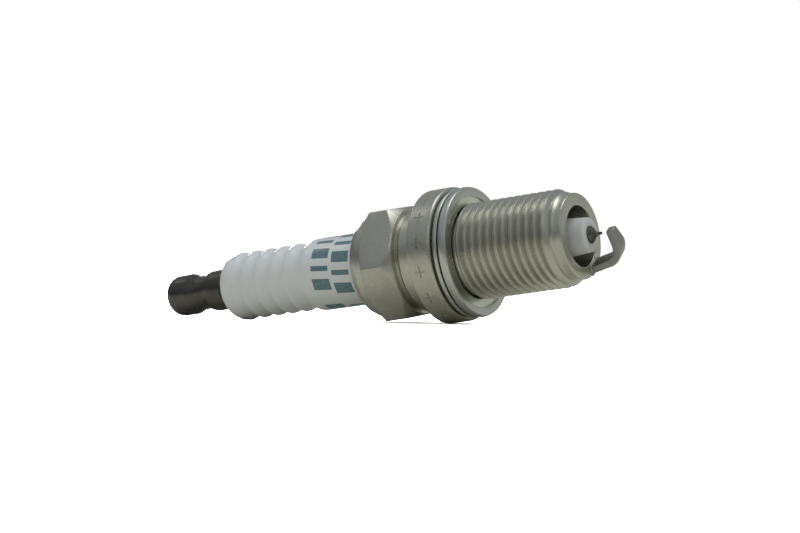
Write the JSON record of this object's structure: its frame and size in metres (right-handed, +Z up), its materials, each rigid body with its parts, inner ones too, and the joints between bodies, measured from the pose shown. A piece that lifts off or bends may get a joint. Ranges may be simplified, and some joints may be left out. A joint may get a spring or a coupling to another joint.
{
  "type": "spark plug",
  "caption": "Long-reach fine-wire spark plug with a ribbed ceramic insulator, hexagon, captive folded gasket, ground strap and screw-on terminal nut.",
  "frame": {"origin": "centre of the sealing plane, the front face of the gasket that lands on the cylinder head, on the plug's axis", "axes": "+X along the plug's axis towards the firing end, +Z up with the plug on its side, one hexagon corner 5.5 degrees below -Y, the ground strap's foot 35 degrees from -Z towards +Y"},
  "size_m": [0.0776, 0.0194, 0.0195],
  "materials": {
    "shell_nickel": "satin",
    "gasket_steel": "satin",
    "strap_nickel": "satin",
    "alumina": "gloss",
    "packing_steel": "satin",
    "talc": "matte",
    "electrode_nickel": "satin",
    "copper": "satin",
    "weld_alloy": "satin",
    "iridium": "satin",
    "seal_glass": "satin",
    "resistor_body": "matte",
    "stud_steel": "satin",
    "terminal_metal": "gloss"
  },
  "bodies": {
    "plug": {"shell": "shell_nickel", "ground_electrode": "strap_nickel", "insulator": "alumina", "seat_washer": "packing_steel", "lower_packing_ring": "packing_steel", "talc_packing": "talc", "upper_packing_ring": "packing_steel", "center_electrode": "electrode_nickel", "electrode_core": "copper", "tip_weld": "weld_alloy", "iridium_tip": "iridium", "lower_glass_seal": "seal_glass", "resistor": "resistor_body", "upper_glass_seal": "seal_glass", "terminal_stud": "stud_steel"},
    "gasket": {"gasket": "gasket_steel"},
    "terminal_nut": {"terminal_nut": "terminal_metal"}
  },
  "joints": [
    {"name": "gasket_spin", "type": "hinge", "parent": "plug", "child": "gasket", "pos_m": [0, 0, 0], "axis": [1, 0, 0], "continuous": true},
    {"name": "terminal_unscrew", "type": "slide", "parent": "plug", "child": "terminal_nut", "axis": [-1, 0, 0], "range_m": [0, 0.0084]}
  ]
}
